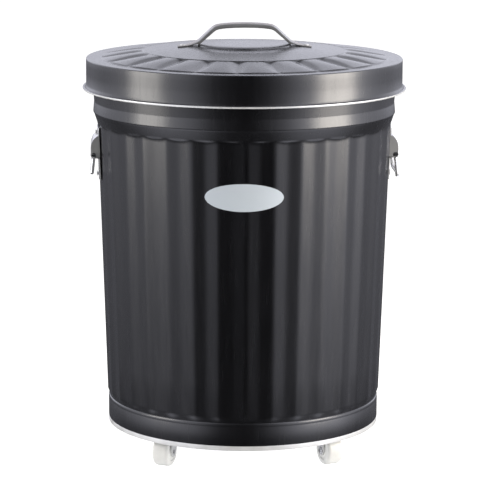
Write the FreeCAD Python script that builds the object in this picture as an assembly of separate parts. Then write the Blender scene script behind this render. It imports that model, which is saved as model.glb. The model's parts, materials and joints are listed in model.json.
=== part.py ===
import FreeCAD, Part
import math
import os

# Ribbed sheet-steel pail with a lift-off lid, two wire bails and four swivel casters.
# Units are millimetres. The origin is on the floor under the pail's axis, +Z is up,
# the front faces -Y and the two bails are on the left (-X) and right (+X) sides.

# Sheet
sheet = 0.6                     # wall of the shell, the pan and the lid
bead_sides = 8                  # sides of a rolled bead's section
rivet_sides = 16                # sides of a rivet and its holes
flat_share = 0.001              # share of the sheet by which four corners may leave a plane

# Pail heights, each counted up from the one before
foot_height = 32.2              # floor to the folded foot of the pail
band_height = 28.5              # plain band round the foot
neck_height = 4.0               # small step above the band
rib_height = 336.5              # ribbed wall
flare_height = 11.0             # cone from the ribs out to the hoop
hoop_height = 13.5              # hoop that widens downwards
collar_height = 48.5            # plain wall up to the middle of the rim bead

# Pail radii, outside of the sheet
rib_head_radius = 177.0         # crest of the ribs at the flare
rib_taper = 11.2                # how far the crests draw in down to the neck
neck_step = 2.3                 # foot of the ribs in to the neck
band_step = 1.1                 # neck out to the plain band
flare_width = 3.6               # head of the ribs out to the collar
hoop_bulge = 1.1                # collar out to the hoop's widest line
hoop_crest_height = 2.0         # foot of the hoop up to its widest line
rim_bead_radius = 3.0           # half the thickness of the rolled bead

# Ribs
rib_count = 34
rib_depth = 2.0
rib_run_in = 9.0                # height over which the ribs rise from the neck
rib_run_out = 10.0              # height over which the grooves run out under the flare
rib_phase_deg = -1.9            # turn of the front crest from the middle of the front

# Bottom pan
hem_height = 5.9                # edge of the pan folded up round the foot

# Lid
lid_skirt_gap = 4.1             # rim bead to the inside of the skirt
lid_bead_radius = 1.75          # half the thickness of the rolled bead
lid_flare_width = 2.55          # outside of the skirt to the middle of the bead
lid_flare_height = 2.2          # height over which the skirt opens out above the bead
lid_seat_clearance = 0.3        # rim bead to the underside of the lid
lid_skirt_height = 35.8         # middle of the lid's bead to the top edge
lid_ledge_width = 17.7          # flat ring inside the top edge
lid_rise = 8.6                  # from the flat ring up to the crown's edge
pleat_length = 49.0             # from the flat ring in to the crown
crown_edge_width = 3.0
crown_rise = 6.1                # from the crown's edge up to the middle disc
disc_radius = 56.5
disc_step = 1.1
disc_step_width = 1.0

# Pleats of the lid
pleat_count = 22
pleat_phase_deg = -5.9          # turn of the first valley from the middle of the front
pleat_flank_share = 0.24        # share of a pleat's pitch taken by one flank
pleat_mouth_width = 6.0         # radial length of the step at the outer end
pleat_mouth_depth = 1.6
pleat_throat_depth = 1.8        # depth of a valley where it meets the crown

# Lid handle, a pressed strap
strap_width = 19.0
strap_sheet = 1.4
strap_channel_depth = 5.5       # height of the turned-down sides at the grip
strap_knee_channel = 3.6        # height of the turned-down sides at the knees
strap_grip_height = 26.9        # top of the grip above the crown disc's edge
strap_grip_drop = 2.8           # how far the grip's ends lie under its middle
strap_grip_half = 36.5
strap_knee_half = 57.0          # where the arm meets the foot
strap_knee_height = 5.2         # top of the knee above the crown
strap_foot_length = 23.6         # from the knee out to the tip of the foot
strap_tab_length = 13.0         # flat end of the foot
strap_seat_clearance = 0.05
strap_rivet_inset = 6.5         # tip of the foot to its rivet

# Rivets of the strap and the ears
rivet_radius = 2.0
rivet_head_radius = 3.6
rivet_head_height = 1.3

# Ears, pressed plates that carry the bails
ear_sheet = 1.2
ear_width = 50.0
ear_top_drop = 6.0              # head of the ribs down to the top end
ear_rise = 32.5                 # bail's pivot bar up to the top end
ear_fall = 31.0                 # bail's pivot bar down to the bottom end
ear_tab_length = 13.0           # flat upper tab
ear_reach = 6.0                 # crest line to the middle of the bail's pivot bar
ear_seat_clearance = 0.1
trough_bend_degrees = (25, -25, -58, -90)       # corners of the trough, up and down from outwards

# Bails, closed loops of round wire
bail_wire_radius = 2.25
bail_clearance = 0.6            # wire to the inside of the ear's trough
bail_side_clearance = 4.5       # wire to the ear's edge, which its bends take up
bail_drop = 36.5                # pivot bar to the grip bar
bail_grip_half = 39.0           # half length of the grip bar between its bends
bail_bend_share = 0.28          # share of the drop cut by the grip's bends
bail_bend_steps = 3
bail_wire_sides = 10
bail_lean_deg = 6.0             # outward lean of a hanging bail

# Casters
caster_count = 4
caster_inset = 32.2             # band to a swivel axis
caster_trail = 13.0
caster_turn_deg = (24.0, -24.0, 28.0, -17.0)    # where each caster points at rest, from -Y
wheel_radius = 17.5
wheel_width = 20.0
wheel_chamfer = 3.2
wheel_sides = 28
wheel_side_clearance = 0.6
axle_radius = 3.0
axle_clearance = 0.06
axle_end = 1.4                  # riveted end outside the fork
fork_sheet = 1.6
fork_half_length = 11.5         # crown behind the swivel axis
fork_arm_radius = 5.5           # lower end of an arm
fork_crown_gap = 8.5            # wheel to the underside of the crown
caster_plate_size = 36.0
caster_plate_sheet = 1.5
race_radius = 12.0
race_depth = 6.55               # how far the race is pressed down from the plate
race_gap = 0.25                 # race and pin head to the fork
king_pin_radius = 3.0
king_pin_clearance = 0.06
king_pin_head_radius = 5.5
king_pin_head_height = 1.5

# Worked-out sizes
rib_foot_radius = rib_head_radius - rib_taper
neck_radius = rib_foot_radius - neck_step
band_radius = neck_radius + band_step
collar_radius = rib_head_radius + flare_width
band_top = foot_height + band_height
rib_start = band_top + neck_height
rib_end = rib_start + rib_height
hoop_start = rib_end + flare_height
hoop_end = hoop_start + hoop_height
rim_bead_height = hoop_end + collar_height
rim_bead_centre = collar_radius - sheet + rim_bead_radius
lid_under = rim_bead_height + rim_bead_radius + lid_seat_clearance
lid_top = lid_under + sheet
lid_bead_height = lid_top - lid_skirt_height
lid_skirt_radius = rim_bead_centre + rim_bead_radius + lid_skirt_gap + sheet
lid_bead_centre = lid_skirt_radius + lid_flare_width
ledge_radius = lid_skirt_radius - lid_ledge_width
crown_radius = ledge_radius - pleat_length
crown_height = lid_top + lid_rise
crown_inner_radius = crown_radius - crown_edge_width
disc_height = crown_height + crown_rise
ear_top_height = rib_end - ear_top_drop
bail_pivot_height = ear_top_height - ear_rise
ear_foot_height = bail_pivot_height - ear_fall
ear_rivet_inset = ear_tab_length / 2
caster_pivot_radius = band_radius - caster_inset
wheel_top = wheel_radius + wheel_radius
fork_under = wheel_top + fork_crown_gap
fork_top = fork_under + fork_sheet
race_low = fork_top + race_gap
strap_tip_half = strap_knee_half + strap_foot_length
pan_height = race_low + race_depth + caster_plate_sheet     # underside of the pan
fork_gap_half = wheel_width / 2 + wheel_side_clearance
overrun = sheet                 # how far a cutting body runs past what it cuts

X = FreeCAD.Vector(1, 0, 0)
Y = FreeCAD.Vector(0, 1, 0)
Z = FreeCAD.Vector(0, 0, 1)
ORIGIN = FreeCAD.Vector(0, 0, 0)


def save(name, shape):
    shape.exportStep("parts/" + name + ".step")


def polar(radius, degrees, height):
    """A point at an angle from the middle of the front, positive towards the right side."""
    a = math.radians(degrees)
    return FreeCAD.Vector(radius * math.sin(a), -radius * math.cos(a), height)


def rod(radius, start, along):
    """A rivet's shank or head from a start, with the length and direction of along."""
    other = Y.cross(along).normalize()
    corners = []
    for k in range(rivet_sides):
        a = math.radians(k * 360 / rivet_sides)
        corners.append(start + (Y * math.cos(a) + other * math.sin(a)) * radius)
    return Part.Face(Part.makePolygon(corners + corners[:1])).extrude(along)


def upright(radius, low, high, x=0):
    return rod(radius, FreeCAD.Vector(x, 0, low), Z * (high - low))


def flat_bore(radius):
    """Corner radius of a flat-sided hole whose flats lie on a round pin of the given radius."""
    return radius / math.cos(math.pi / rivet_sides)


def upright_pin(radius, low, high):
    """A round pin or bore on a swivel axis."""
    return Part.makeCylinder(radius, high - low, FreeCAD.Vector(0, 0, low))


# Walls built up ring by ring: every ring has its corners at the same angles

def solid_of(faces):
    shell = Part.Shell(faces)
    shell.sewShape()
    solid = Part.Solid(shell)
    if solid.Volume < 0:
        solid.reverse()
    return solid


def flat_faces(corners):
    """One face for four corners in a plane, or two if they aren't."""
    a, b, c, d = corners
    normal = (b - a).cross(c - a)
    twist = abs(normal.dot(d - a))
    if twist < normal.Length * sheet * flat_share:
        return [Part.Face(Part.makePolygon([a, b, c, d, a]))]
    return [Part.Face(Part.makePolygon([a, b, c, a])), Part.Face(Part.makePolygon([a, c, d, a]))]


def skin(rings):
    """Faces between each ring of corners and the next."""
    faces = []
    for low, high in zip(rings, rings[1:]):
        for k in range(len(low)):
            faces += flat_faces([low[k - 1], low[k], high[k], high[k - 1]])
    return faces


def cap(ring):
    return Part.Face(Part.makePolygon(ring + ring[:1]))


def closed_ring_solid(rings):
    """A solid whose section is closed: the last ring joins the first."""
    return solid_of(skin(rings + rings[:1]))


def bead_corners(centre, height, radius, below):
    """Corners of a rolled bead's section, outwards from the sheet and round to its inside.

    below is 1 when the sheet comes from under the bead and -1 when it comes from above.
    """
    step = 360 / bead_sides
    reach = radius / math.cos(math.radians(step / 2))
    corners = []
    for k in range(1, bead_sides):
        a = math.radians(180 + step / 2 + k * step)
        corners.append((centre + reach * math.cos(a), height + below * reach * math.sin(a)))
    flat_half = radius * math.tan(math.radians(step / 2))
    start = (centre - radius + sheet, height - below * (flat_half + sheet))
    return [start] + corners


# Shell and bottom pan

def crest_radius(height):
    share = (height - rib_start) / rib_height
    return rib_foot_radius + share * (rib_head_radius - rib_foot_radius)


def round_ring(radius, height):
    """Corners of a plain section of the pail, at the angles of the crests and valleys."""
    half_pitch = 180 / rib_count
    return [polar(radius, rib_phase_deg + k * half_pitch, height) for k in range(2 * rib_count)]


def ribbed_ring(radius, height):
    """Corners of a ribbed section: crests at the radius, valleys inside it."""
    half_pitch = 180 / rib_count
    valley = radius * (1 - rib_depth / rib_head_radius)
    ring = []
    for k in range(2 * rib_count):
        reach = valley if k % 2 else radius
        ring.append(polar(reach, rib_phase_deg + k * half_pitch, height))
    return ring


def wall_rings(inset):
    """Rings of one side of the pail's wall, from the foot up to the hoop."""
    ribs_low = rib_start + rib_run_in
    ribs_high = rib_end - rib_run_out
    return [
        round_ring(band_radius - inset, foot_height + sheet),
        round_ring(band_radius - inset, band_top),
        round_ring(neck_radius - inset, rib_start),
        ribbed_ring(crest_radius(ribs_low) - inset, ribs_low),
        ribbed_ring(crest_radius(ribs_high) - inset, ribs_high),
        round_ring(rib_head_radius - inset, rib_end),
        round_ring(collar_radius - inset, hoop_start),
        round_ring(collar_radius + hoop_bulge - inset, hoop_start + hoop_crest_height),
        round_ring(collar_radius - inset, hoop_end),
    ]


def make_shell():
    bead = bead_corners(rim_bead_centre, rim_bead_height, rim_bead_radius, 1)
    rings = wall_rings(0)
    rings += [round_ring(r, z) for r, z in bead]
    rings += list(reversed(wall_rings(sheet)))
    return closed_ring_solid(rings)


def make_pan():
    flange = band_radius - sheet
    hem = band_radius + sheet
    fold = foot_height + sheet
    section = [
        (flange - sheet, pan_height),
        (flange - sheet, foot_height),
        (hem, foot_height),
        (hem, foot_height + hem_height),
        (band_radius, foot_height + hem_height),
        (band_radius, fold),
        (flange, fold),
        (flange, pan_height + sheet),
    ]
    rings = [round_ring(r, z) for r, z in section]
    return solid_of(skin(rings) + [cap(rings[0]), cap(rings[-1])])


# Lid

def crown_top(radius):
    """Height of the crown's upper surface between the pleats and the middle disc."""
    share = (crown_inner_radius - radius) / (crown_inner_radius - disc_radius)
    return crown_height + share * crown_rise


def lid_ring(radius, height, depth=0):
    """Corners of a section of the lid: for each pleat a valley and the two edges of its pad."""
    pitch = 360 / pleat_count
    flank = pleat_flank_share * pitch
    ring = []
    for k in range(pleat_count):
        valley = pleat_phase_deg + k * pitch
        ring.append(polar(radius, valley, height - depth))
        ring.append(polar(radius, valley + flank, height))
        ring.append(polar(radius, valley + pitch - flank, height))
    return ring


def lid_top_rings(drop):
    """Rings of one side of the lid's top, from the skirt in to the middle disc."""
    edge = lid_skirt_radius - drop
    mouth = ledge_radius - pleat_mouth_width
    mouth_height = lid_top + lid_rise * pleat_mouth_width / (ledge_radius - crown_radius)
    step_radius = disc_radius - disc_step_width
    return [
        lid_ring(edge, lid_top - drop),
        lid_ring(ledge_radius, lid_top - drop),
        lid_ring(mouth, mouth_height - drop, pleat_mouth_depth),
        lid_ring(crown_radius, crown_height - drop, pleat_throat_depth),
        lid_ring(crown_inner_radius, crown_height - drop),
        lid_ring(disc_radius, disc_height - drop),
        lid_ring(step_radius, disc_height + disc_step - drop),
    ]


def strap_rivets_at():
    x = strap_tip_half - strap_rivet_inset
    return [-x, x]


def make_lid():
    bead = bead_corners(lid_bead_centre, lid_bead_height, lid_bead_radius, -1)
    bead_rings = [lid_ring(r, z) for r, z in bead]
    upper = lid_top_rings(0)
    lower = lid_top_rings(sheet)
    flare_top = lid_bead_height + lid_bead_radius + lid_flare_height
    rings = list(reversed(upper))
    rings.append(lid_ring(lid_skirt_radius, flare_top))
    rings += bead_rings
    rings.append(lid_ring(lid_skirt_radius - sheet, flare_top))
    rings += lower
    lid = solid_of(skin(rings) + [cap(rings[0]), cap(rings[-1])])
    for x in strap_rivets_at():
        lid = lid.cut(upright(rivet_radius, lid_top, disc_height, x))
    return lid


def strap_line():
    """Top of the right half of the strap, from the middle of the grip out to the tip."""
    top = disc_height + strap_grip_height
    tab_start = strap_tip_half - strap_tab_length
    seat = strap_seat_clearance + strap_sheet
    return [
        (0, top),
        (strap_grip_half / 2, top - strap_grip_drop / 4),
        (strap_grip_half, top - strap_grip_drop),
        (strap_knee_half, crown_top(strap_knee_half) + strap_knee_height),
        (tab_start, crown_top(tab_start) + seat),
        (strap_tip_half, crown_top(strap_tip_half) + seat),
    ]


def strap_slab(line, high_drops, low_drops, half_width):
    """A slab that follows the strap's line between two depths under each of its points."""
    top = [(x, z - drop) for (x, z), drop in zip(line, high_drops)]
    under = [(x, z - drop) for (x, z), drop in zip(line, low_drops)]
    mirrored_top = [(-x, z) for x, z in reversed(top[1:])]
    mirrored_under = [(-x, z) for x, z in reversed(under[1:])]
    outline = mirrored_top + top + list(reversed(under)) + list(reversed(mirrored_under))
    corners = [FreeCAD.Vector(x, -half_width, z) for x, z in outline]
    face = Part.Face(Part.makePolygon(corners + corners[:1]))
    return face.extrude(FreeCAD.Vector(0, 2 * half_width, 0))


def make_lid_handle():
    line = strap_line()
    half = strap_width / 2
    level = [0] * len(line)
    skin_drops = [strap_sheet] * len(line)
    web = strap_slab(line, level, skin_drops, half)
    channel_line = line[:4]
    depths = [strap_channel_depth] * len(channel_line)
    depths[-1] = strap_knee_channel
    open_depths = [depth + overrun for depth in depths]
    side_block = strap_slab(channel_line, level, depths, half)
    hollow = strap_slab(channel_line, skin_drops, open_depths, half - strap_sheet)
    handle = web.fuse(side_block.cut(hollow)).removeSplitter()
    for x in strap_rivets_at():
        handle = handle.cut(upright(rivet_radius, crown_height, disc_height + strap_sheet, x))
    return handle


def rivet(base, along, grip):
    """A rivet from its end at base, along a direction, that holds a stack of that thickness."""
    shank = rod(rivet_radius, base, along * grip)
    head = rod(rivet_head_radius, base + along * grip, along * rivet_head_height)
    return shank.fuse(head).removeSplitter()


def make_strap_rivets():
    stack = sheet + strap_seat_clearance + strap_sheet
    rivets = []
    for x in strap_rivets_at():
        under = crown_top(abs(x)) - sheet
        slope = crown_rise / (crown_inner_radius - disc_radius)
        grip_low = under - slope * rivet_head_radius
        grip = stack + 2 * slope * rivet_head_radius
        rivets.append(rivet(FreeCAD.Vector(x, 0, grip_low), Z, grip))
    return Part.makeCompound(rivets)


# Ears and bails, made on the right side and turned for the left

def ear_back(height):
    """Distance from the axis to the back of an ear's tabs."""
    return crest_radius(height) + ear_seat_clearance


def bail_pivot_radius():
    return crest_radius(bail_pivot_height) + ear_reach


def ear_side_line():
    """Outside of the ear's sheet in the vertical plane through the pail's axis."""
    trough = bail_wire_radius + bail_clearance + ear_sheet
    centre = bail_pivot_radius()
    tab_end = ear_top_height - ear_tab_length
    upper = [
        (ear_back(ear_top_height) + ear_sheet, ear_top_height),
        (ear_back(tab_end) + ear_sheet, tab_end),
    ]
    wrap = []
    for degrees in trough_bend_degrees:
        a = math.radians(degrees)
        wrap.append((centre + trough * math.cos(a), bail_pivot_height + trough * math.sin(a)))
    low = bail_pivot_height - trough
    lower = [
        (ear_back(low) + ear_sheet, low),
        (ear_back(ear_foot_height) + ear_sheet, ear_foot_height),
    ]
    return upper + wrap + lower


def offset_line(line, distance):
    """The line moved to its inner side by a distance, with mitred corners."""
    moved = []
    for i, (x, z) in enumerate(line):
        normals = []
        for a, b in ((i - 1, i), (i, i + 1)):
            if a >= 0 and b < len(line):
                dx = line[b][0] - line[a][0]
                dz = line[b][1] - line[a][1]
                length = math.hypot(dx, dz)
                normals.append((dz / length, -dx / length))
        nx = sum(n[0] for n in normals)
        nz = sum(n[1] for n in normals)
        scale = distance * len(normals) / (nx * nx + nz * nz)
        moved.append((x + nx * scale, z + nz * scale))
    return moved


def ear_rivet_places():
    return [ear_top_height - ear_rivet_inset, ear_foot_height + ear_rivet_inset]


def rivet_hole(height):
    start = FreeCAD.Vector(crest_radius(height) - rib_depth - rib_depth - sheet, 0, height)
    length = rib_depth + rib_depth + sheet + ear_sheet + ear_sheet + overrun
    return rod(rivet_radius, start, X * length)


def make_right_ear():
    outside = ear_side_line()
    inside = offset_line(outside, ear_sheet)
    outline = outside + list(reversed(inside))
    corners = [FreeCAD.Vector(r, -ear_width / 2, z) for r, z in outline]
    face = Part.Face(Part.makePolygon(corners + corners[:1]))
    ear = face.extrude(FreeCAD.Vector(0, ear_width, 0))
    for height in ear_rivet_places():
        ear = ear.cut(rivet_hole(height))
    return ear


def bail_corners():
    """Corners of the bail's centre line, hanging at rest."""
    half = ear_width / 2 + bail_side_clearance + bail_wire_radius
    grip_height = bail_pivot_height - bail_drop
    x = bail_pivot_radius()
    return [
        FreeCAD.Vector(x, -half, bail_pivot_height),
        FreeCAD.Vector(x, half, bail_pivot_height),
        FreeCAD.Vector(x, bail_grip_half, grip_height),
        FreeCAD.Vector(x, -bail_grip_half, grip_height),
    ]


def bent_loop(corners):
    """A closed line through the corners, each taken in a few equal steps."""
    count = len(corners)
    at_pivot = bail_side_clearance + bail_wire_radius
    at_grip = bail_bend_share * bail_drop
    points = []
    for i, corner in enumerate(corners):
        reach = at_pivot if corner.z == bail_pivot_height else at_grip
        before = corners[i - 1] - corner
        after = corners[(i + 1) % count] - corner
        start = corner + before * (reach / before.Length)
        end = corner + after * (reach / after.Length)
        for k in range(bail_bend_steps + 1):
            t = k / bail_bend_steps
            points.append(start * (1 - t) ** 2 + corner * (2 * t * (1 - t)) + end * t ** 2)
    return points


def wire_ring(before, point, after):
    """Corners of the wire's section where two straight runs of it meet."""
    into = (point - before).normalize()
    away = (after - point).normalize()
    across_run = into.cross(X)
    mitre = (into + away).normalize()
    ring = []
    for k in range(bail_wire_sides):
        a = math.radians(k * 360 / bail_wire_sides)
        corner = X * math.cos(a) + across_run * math.sin(a)
        slide = corner.dot(mitre) / into.dot(mitre)
        ring.append(point + (corner - into * slide) * bail_wire_radius)
    return ring


def make_right_bail():
    line = bent_loop(bail_corners())
    count = len(line)
    rings = []
    for i in range(count):
        rings.append(wire_ring(line[i - 1], line[i], line[(i + 1) % count]))
    bail = closed_ring_solid(rings)
    pivot = FreeCAD.Vector(bail_pivot_radius(), 0, bail_pivot_height)
    bail.rotate(pivot, Y, -bail_lean_deg)
    return bail


def half_turned(shape):
    copy = shape.copy()
    copy.rotate(ORIGIN, Z, 180)
    return copy


def make_ear_rivets(shell):
    lean = rib_taper / rib_height * rivet_head_radius
    rivets = []
    for height in ear_rivet_places():
        hole = rivet_hole(height)
        inner = shell.common(hole).BoundBox.XMin
        outer = ear_back(height) + ear_sheet + lean
        rivets.append(rivet(FreeCAD.Vector(inner, 0, height), X, outer - inner))
    return Part.makeCompound(rivets)


# Casters, made with the swivel axis on the origin and the wheel trailing towards -Y

def caster_place(index):
    """Swivel axis and rest direction of one caster: front right, front left, back left, back right."""
    quarter = 360 / caster_count
    pivot = polar(caster_pivot_radius, quarter / 2 - quarter * index, 0)
    return pivot, caster_turn_deg[index]


def placed(shape, index):
    pivot, turn = caster_place(index)
    copy = shape.copy()
    copy.rotate(ORIGIN, Z, turn)
    copy.translate(pivot)
    return copy


def wheel_ring(x, radius):
    """Corners of one ring of the wheel, round its own axis."""
    ring = []
    for k in range(wheel_sides):
        a = math.radians(k * 360 / wheel_sides)
        y = radius * math.sin(a) - caster_trail
        ring.append(FreeCAD.Vector(x, y, wheel_radius - radius * math.cos(a)))
    return ring


def make_wheel():
    half = wheel_width / 2
    rim = wheel_radius - wheel_chamfer
    tread = half - wheel_chamfer
    section = [(-half, rim), (-tread, wheel_radius), (tread, wheel_radius), (half, rim)]
    rings = [wheel_ring(x, r) for x, r in section]
    tyre = solid_of(skin(rings) + [cap(rings[0]), cap(rings[-1])])
    bore_start = FreeCAD.Vector(-half - overrun, -caster_trail, wheel_radius)
    bore_length = wheel_width + 2 * overrun
    return tyre.cut(rod(flat_bore(axle_radius + axle_clearance), bore_start, X * bore_length))


def across(radius, half_length):
    """A round pin or bore along X on the wheel's axis."""
    start = FreeCAD.Vector(-half_length, -caster_trail, wheel_radius)
    return Part.makeCylinder(radius, 2 * half_length, start, X)


def make_fork():
    half = fork_gap_half + fork_sheet
    front = -caster_trail
    crown_corners = [
        FreeCAD.Vector(-half, fork_half_length, fork_under),
        FreeCAD.Vector(half, fork_half_length, fork_under),
        FreeCAD.Vector(half, front, fork_under),
        FreeCAD.Vector(-half, front, fork_under),
    ]
    crown_face = Part.Face(Part.makePolygon(crown_corners + crown_corners[:1]))
    fork = crown_face.extrude(Z * fork_sheet)
    arm_outline = [
        (fork_half_length, fork_under),
        (front, fork_under),
        (front - fork_arm_radius, wheel_radius + fork_arm_radius),
        (front - fork_arm_radius, wheel_radius),
        (front - fork_arm_radius / 2, wheel_radius - fork_arm_radius),
        (front + fork_arm_radius / 2, wheel_radius - fork_arm_radius),
        (front + fork_arm_radius, wheel_radius),
    ]
    for x in (-half, fork_gap_half):
        corners = [FreeCAD.Vector(x, y, z) for y, z in arm_outline]
        arm = Part.Face(Part.makePolygon(corners + corners[:1]))
        fork = fork.fuse(arm.extrude(FreeCAD.Vector(fork_sheet, 0, 0)))
    fork = fork.removeSplitter()
    seat_start = FreeCAD.Vector(-half - overrun, -caster_trail, wheel_radius)
    fork = fork.cut(rod(flat_bore(axle_radius), seat_start, X * (2 * half + 2 * overrun)))
    bore = flat_bore(king_pin_radius + king_pin_clearance)
    return fork.cut(upright(bore, fork_under - overrun, fork_top + overrun))


def make_axle():
    return across(axle_radius, fork_gap_half + fork_sheet + axle_end)


def make_caster_plate():
    """Top plate with the upper bearing race pressed down from it."""
    half = caster_plate_size / 2
    low = pan_height - caster_plate_sheet
    corner = FreeCAD.Vector(-half, -half, low)
    plate = Part.makeBox(caster_plate_size, caster_plate_size, caster_plate_sheet, corner)
    plate = plate.fuse(upright(race_radius, race_low, low)).removeSplitter()
    return plate.cut(upright(flat_bore(king_pin_radius), race_low - overrun, pan_height + overrun))


def make_king_pin():
    under = fork_under - race_gap
    pin = upright_pin(king_pin_radius, under, pan_height)
    head = upright(king_pin_head_radius, under - king_pin_head_height, under)
    return pin.fuse(head).removeSplitter()


def build():
    os.makedirs("parts", exist_ok=True)
    shell = make_shell()
    right_rivets = make_ear_rivets(shell)
    for height in ear_rivet_places():
        hole = rivet_hole(height)
        shell = shell.cut([hole, half_turned(hole)])
    right_ear = make_right_ear()
    right_bail = make_right_bail()
    save("can_shell", shell)
    save("bottom_pan", make_pan())
    save("right_ear", right_ear)
    save("left_ear", half_turned(right_ear))
    save("right_bail", right_bail)
    save("left_bail", half_turned(right_bail))
    save("ear_rivets", Part.makeCompound([right_rivets, half_turned(right_rivets)]))
    save("lid", make_lid())
    save("lid_handle", make_lid_handle())
    save("lid_handle_rivets", make_strap_rivets())
    moving = {"wheel": make_wheel(), "fork": make_fork(), "axle": make_axle()}
    fixed = {"plate": make_caster_plate(), "king_pin": make_king_pin()}
    names = ["front_right", "front_left", "back_left", "back_right"]
    for index, corner in enumerate(names):
        for kind, shape in moving.items():
            save("caster_" + kind + "_" + corner, placed(shape, index))
    for kind, shape in fixed.items():
        pieces = []
        for index in range(caster_count):
            copy = shape.copy()
            copy.translate(caster_place(index)[0])
            pieces.append(copy)
        save("caster_" + kind + "s", Part.makeCompound(pieces))


build()
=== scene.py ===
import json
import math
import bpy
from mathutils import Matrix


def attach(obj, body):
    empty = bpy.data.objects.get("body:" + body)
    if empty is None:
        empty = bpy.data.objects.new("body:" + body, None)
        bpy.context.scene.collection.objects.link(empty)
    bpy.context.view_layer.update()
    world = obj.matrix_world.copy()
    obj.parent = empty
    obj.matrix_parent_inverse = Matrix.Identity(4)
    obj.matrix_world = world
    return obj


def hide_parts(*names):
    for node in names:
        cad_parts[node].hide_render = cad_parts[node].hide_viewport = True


bl_info = {
    "name": "Ribbed pail with lid",
    "version": (1, 0, 0),
    "blender": (4, 5, 0),
    "location": "View3D > Sidebar > Pail",
    "description": "Models a ribbed steel pail with a pleated lid, wire handles and casters over its frame",
    "category": "Object",
}

import bmesh
import bpy
from bpy.props import FloatProperty, FloatVectorProperty, IntProperty, PointerProperty
from mathutils import Matrix, Quaternion, Vector

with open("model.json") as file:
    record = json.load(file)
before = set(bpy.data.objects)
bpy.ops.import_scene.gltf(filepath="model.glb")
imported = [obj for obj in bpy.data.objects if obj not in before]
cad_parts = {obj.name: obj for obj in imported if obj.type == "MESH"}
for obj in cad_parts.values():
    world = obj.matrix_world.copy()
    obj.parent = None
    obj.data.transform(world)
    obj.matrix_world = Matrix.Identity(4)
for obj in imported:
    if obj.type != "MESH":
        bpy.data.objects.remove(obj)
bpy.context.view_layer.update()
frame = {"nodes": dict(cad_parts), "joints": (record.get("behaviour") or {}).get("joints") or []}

CORNERS = ["front_right", "front_left", "back_left", "back_right"]
FULL_TURN = 2 * math.pi
QUARTER_TURN = math.pi / 2

# Closer points are one, and how far a point may lie off its row in metres or on a grid one unit wide
SAME_PLACE = 1e-6
ROW_REACH = 2e-5
GRID_REACH = 1e-4
SEED_SIZE = 1e-3    # plane that a traced line starts from
FACING = 0.9    # least part of a normal that points the way asked for


# Sizes and finishes that a user would change

def length(name, about, value):
    return FloatProperty(name=name, description=about, default=value, min=0, unit="LENGTH", precision=5)


def angle(name, about, degrees):
    return FloatProperty(name=name, description=about, default=math.radians(degrees), unit="ROTATION")


def factor(name, about, value):
    return FloatProperty(name=name, description=about, default=value, min=0, max=1, subtype="FACTOR")


def number(name, about, value):
    return IntProperty(name=name, description=about, default=value, min=3)


def colour(name, about, value):
    return FloatVectorProperty(name=name, description=about, default=value, size=3, min=0, max=1,
                               subtype="COLOR")


class PailWallSizes(bpy.types.PropertyGroup):
    sheet: length("Sheet", "Thickness of the painted sheet", 0.0006)
    foot: length("Foot", "Height of the folded foot over the floor", 0.0322)
    band: length("Band", "Height of the plain band over the foot", 0.0285)
    neck: length("Neck", "Height of the small step over the band", 0.004)
    ribs: length("Ribs", "Height of the ribbed wall", 0.3365)
    flare: length("Flare", "Height of the cone from the ribs to the hoop", 0.011)
    hoop: length("Hoop", "Height of the hoop that widens downwards", 0.0135)
    collar: length("Collar", "Height from the hoop to the middle of the rim bead", 0.0485)
    band_radius: length("Band radius", "Outside of the plain band", 0.1646)
    neck_radius: length("Neck radius", "Outside of the neck", 0.1635)
    rib_foot_radius: length("Rib foot radius", "Crest of the ribs at the neck", 0.1658)
    rib_head_radius: length("Rib head radius", "Crest of the ribs at the flare", 0.177)
    collar_radius: length("Collar radius", "Outside of the collar at the hoop", 0.1806)
    collar_flare: length("Collar flare", "How much wider the collar is at the rim", 0.0016)
    collar_bend: length("Collar bend", "Height over the hoop at which most of the flare is done", 0.017)
    crease: length("Crease", "Size of a crease in the sheet, which the small steps are shares of", 0.001)
    hoop_bulge: length("Hoop bulge", "Collar out to the hoop's widest line", 0.0011)
    hoop_crest: length("Hoop crest", "Foot of the hoop up to its widest line", 0.002)
    bead_radius: length("Rim bead", "Half the thickness of the rolled rim", 0.003)
    rib_count: number("Rib count", "Number of ribs round the wall", 34)
    rib_depth: length("Rib depth", "Crest to valley", 0.002)
    run_in: length("Run-in", "Height over which the grooves begin at the neck", 0.009)
    run_out: length("Run-out", "Height over which the grooves end under the flare", 0.006)
    rib_phase: angle("Rib phase", "Turn of the front crest from the middle of the front", -1.9)
    pan_height: length("Pan", "Height of the bottom pan's underside", 0.0534)
    pan_ring: length("Pan ring", "Radius of a ring of edges on the pan's flat floor", 0.06)
    hem: length("Hem", "Height of the pan's edge folded round the foot", 0.0059)


class StickerSizes(bpy.types.PropertyGroup):
    height: length("Height", "Height of the sticker's middle", 0.3348)
    half_width: length("Half width", "Half the width before it is laid round the wall", 0.0497)
    tall: length("Tall", "Height of the oval itself", 0.0326)
    lift: length("Lift", "Crests of the ribs out to the sticker", 0.00045)
    sheet: length("Sheet", "Thickness of the sticker", 0.0002)
    ahead: length("Ahead", "Crests of the ribs out to the flat sticker before it is laid", 0.01)
    spare: length("Spare", "How far its former reaches above and below its middle", 0.03)
    turn: angle("Turn", "Middle of the front to the sticker's middle", -3)
    end: factor("End", "Least height of the oval's ends, as a share of its middle", 0.02)


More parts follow.
